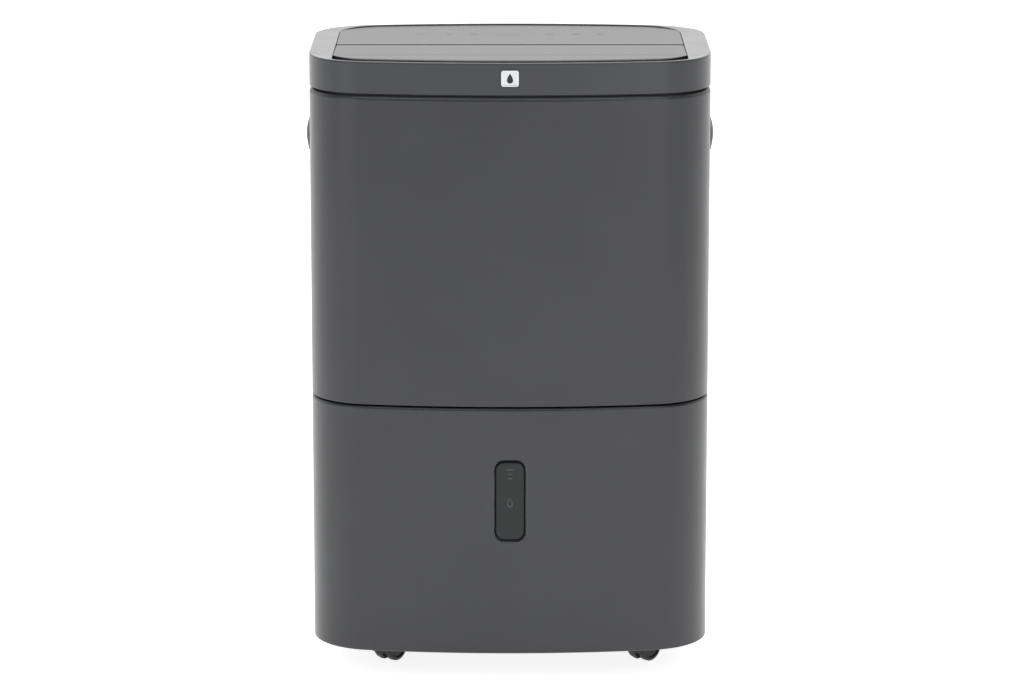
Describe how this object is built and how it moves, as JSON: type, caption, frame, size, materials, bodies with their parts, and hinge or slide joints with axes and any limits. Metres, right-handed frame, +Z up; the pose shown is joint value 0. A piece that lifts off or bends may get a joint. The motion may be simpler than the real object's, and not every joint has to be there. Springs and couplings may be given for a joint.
{
  "type": "dehumidifier",
  "caption": "Upright rounded dark grey dehumidifier with a pull-out water tank, a tilting top outlet flap, side grips and swivel casters.",
  "frame": {"origin": "centre of the bounding box, on the floor under the cabinet", "axes": "+Z up, +X to the right as seen from the front, +Y to the back; the tank pulls out along -Y"},
  "size_m": [0.403, 0.2836, 0.616],
  "materials": {
    "charcoal_plastic": "fine-textured satin moulding",
    "satin_top_plastic": "smooth satin moulding",
    "black_plastic": "matt moulding",
    "caster_plastic": "satin moulding",
    "wheel_plastic": "satin moulding",
    "badge_silver": "satin metal",
    "bright_steel": "plated",
    "black_steel": "black enamel",
    "bare_copper": "drawn tube",
    "fin_aluminium": "stamped fins",
    "soft_rubber": "matt",
    "circuit_board": "solder mask",
    "white_plastic": "matt moulding",
    "smoked_window": "smoked clear plastic",
    "tank_plastic": "translucent frosted moulding",
    "grey_plastic": "matt moulding",
    "red_plastic": "matt moulding"
  },
  "bodies": {
    "cabinet": {"top_cap": "charcoal_plastic", "control_panel": "satin_top_plastic", "touch_board": "circuit_board", "outlet_grille": "black_plastic", "badge": "badge_silver", "front_shell": "charcoal_plastic", "rear_shell": "charcoal_plastic", "rear_screws": "bright_steel", "base_pan": "black_plastic", "bay_bulkhead": "black_plastic", "grip_left": "black_plastic", "grip_right": "black_plastic", "drain_spigot": "black_plastic", "drain_hose": "soft_rubber", "cord_gland": "black_plastic", "drip_tray": "white_plastic", "coil_shroud": "black_plastic", "evaporator_fins": "fin_aluminium", "evaporator_tubes": "bare_copper", "condenser_fins": "fin_aluminium", "condenser_tubes": "bare_copper", "compressor_can": "black_steel", "compressor_base": "black_steel", "compressor_feet": "soft_rubber", "compressor_bolts": "bright_steel", "accumulator": "black_steel", "suction_pipe": "bare_copper", "discharge_pipe": "bare_copper", "filter_drier": "bare_copper", "scroll_front": "black_plastic", "scroll_rear": "black_plastic", "outlet_duct": "black_plastic", "fan_motor": "black_steel", "motor_screws": "bright_steel", "control_box": "white_plastic", "main_board": "circuit_board", "run_capacitor": "bright_steel", "tank_switch": "black_plastic"},
    "flap": {"outlet_flap": "satin_top_plastic"},
    "filter_unit": {"intake_grille": "charcoal_plastic", "filter_frame": "black_plastic", "filter_mesh": "grey_plastic"},
    "blower": {"fan_wheel": "white_plastic", "motor_shaft": "bright_steel"},
    "plunger": {"switch_plunger": "red_plastic"},
    "tank": {"tank_front": "charcoal_plastic", "tank_bucket": "tank_plastic", "tank_window": "smoked_window", "tank_lid": "tank_plastic"},
    "handle": {"tank_handle": "grey_plastic"},
    "float_arm": {"tank_float": "white_plastic", "float_magnet": "bright_steel"},
    "caster_front_left_body": {"caster_front_left": "caster_plastic"},
    "wheels_front_left_body": {"wheels_front_left": "wheel_plastic"},
    "caster_front_right_body": {"caster_front_right": "caster_plastic"},
    "wheels_front_right_body": {"wheels_front_right": "wheel_plastic"},
    "caster_rear_left_body": {"caster_rear_left": "caster_plastic"},
    "wheels_rear_left_body": {"wheels_rear_left": "wheel_plastic"},
    "caster_rear_right_body": {"caster_rear_right": "caster_plastic"},
    "wheels_rear_right_body": {"wheels_rear_right": "wheel_plastic"}
  },
  "joints": [
    {"name": "tank_slide", "type": "slide", "parent": "cabinet", "child": "tank", "axis": [0, -1, 0], "range_m": [0, 0.18]},
    {"name": "handle_swing", "type": "hinge", "parent": "tank", "child": "handle", "pos_m": [0, -0.066, 0.24], "axis": [1, 0, 0], "range_deg": [0, 90]},
    {"name": "float_lift", "type": "hinge", "parent": "tank", "child": "float_arm", "pos_m": [0.11, -0.022, 0.222], "axis": [-1, 0, 0], "range_deg": [0, 7]},
    {"name": "flap_tilt", "type": "hinge", "parent": "cabinet", "child": "flap", "pos_m": [0, -0.018, 0.6098], "axis": [-1, 0, 0], "range_deg": [0, 65]},
    {"name": "filter_pull", "type": "slide", "parent": "cabinet", "child": "filter_unit", "axis": [0, 1, 0], "range_m": [0, 0.06]},
    {"name": "blower_spin", "type": "hinge", "parent": "cabinet", "child": "blower", "pos_m": [0, -0.048, 0.44], "axis": [0, 1, 0], "continuous": true},
    {"name": "switch_press", "type": "slide", "parent": "cabinet", "child": "plunger", "axis": [0, 1, 0], "range_m": [0, 0.002], "stiffness_N_per_m": 150},
    {"name": "swivel_front_left", "type": "hinge", "parent": "cabinet", "child": "caster_front_left_body", "pos_m": [-0.127, -0.072, 0.03], "axis": [0, 0, 1], "continuous": true},
    {"name": "roll_front_left", "type": "hinge", "parent": "caster_front_left_body", "child": "wheels_front_left_body", "pos_m": [-0.12023, -0.06333, 0.0145], "axis": [-0.788, 0.6157, 0], "continuous": true},
    {"name": "swivel_front_right", "type": "hinge", "parent": "cabinet", "child": "caster_front_right_body", "pos_m": [0.127, -0.072, 0.03], "axis": [0, 0, 1], "continuous": true},
    {"name": "roll_front_right", "type": "hinge", "parent": "caster_front_right_body", "child": "wheels_front_right_body", "pos_m": [0.13464, -0.06409, 0.0145], "axis": [-0.7193, 0.6947, 0], "continuous": true},
    {"name": "swivel_rear_left", "type": "hinge", "parent": "cabinet", "child": "caster_rear_left_body", "pos_m": [-0.127, 0.072, 0.03], "axis": [0, 0, 1], "continuous": true},
    {"name": "roll_rear_left", "type": "hinge", "parent": "caster_rear_left_body", "child": "wheels_rear_left_body", "pos_m": [-0.11666, 0.07576, 0.0145], "axis": [-0.342, 0.9397, 0], "continuous": true},
    {"name": "swivel_rear_right", "type": "hinge", "parent": "cabinet", "child": "caster_rear_right_body", "pos_m": [0.127, 0.072, 0.03], "axis": [0, 0, 1], "continuous": true},
    {"name": "roll_rear_right", "type": "hinge", "parent": "caster_rear_right_body", "child": "wheels_rear_right_body", "pos_m": [0.13763, 0.06915, 0.0145], "axis": [0.2588, 0.9659, 0], "continuous": true}
  ]
}
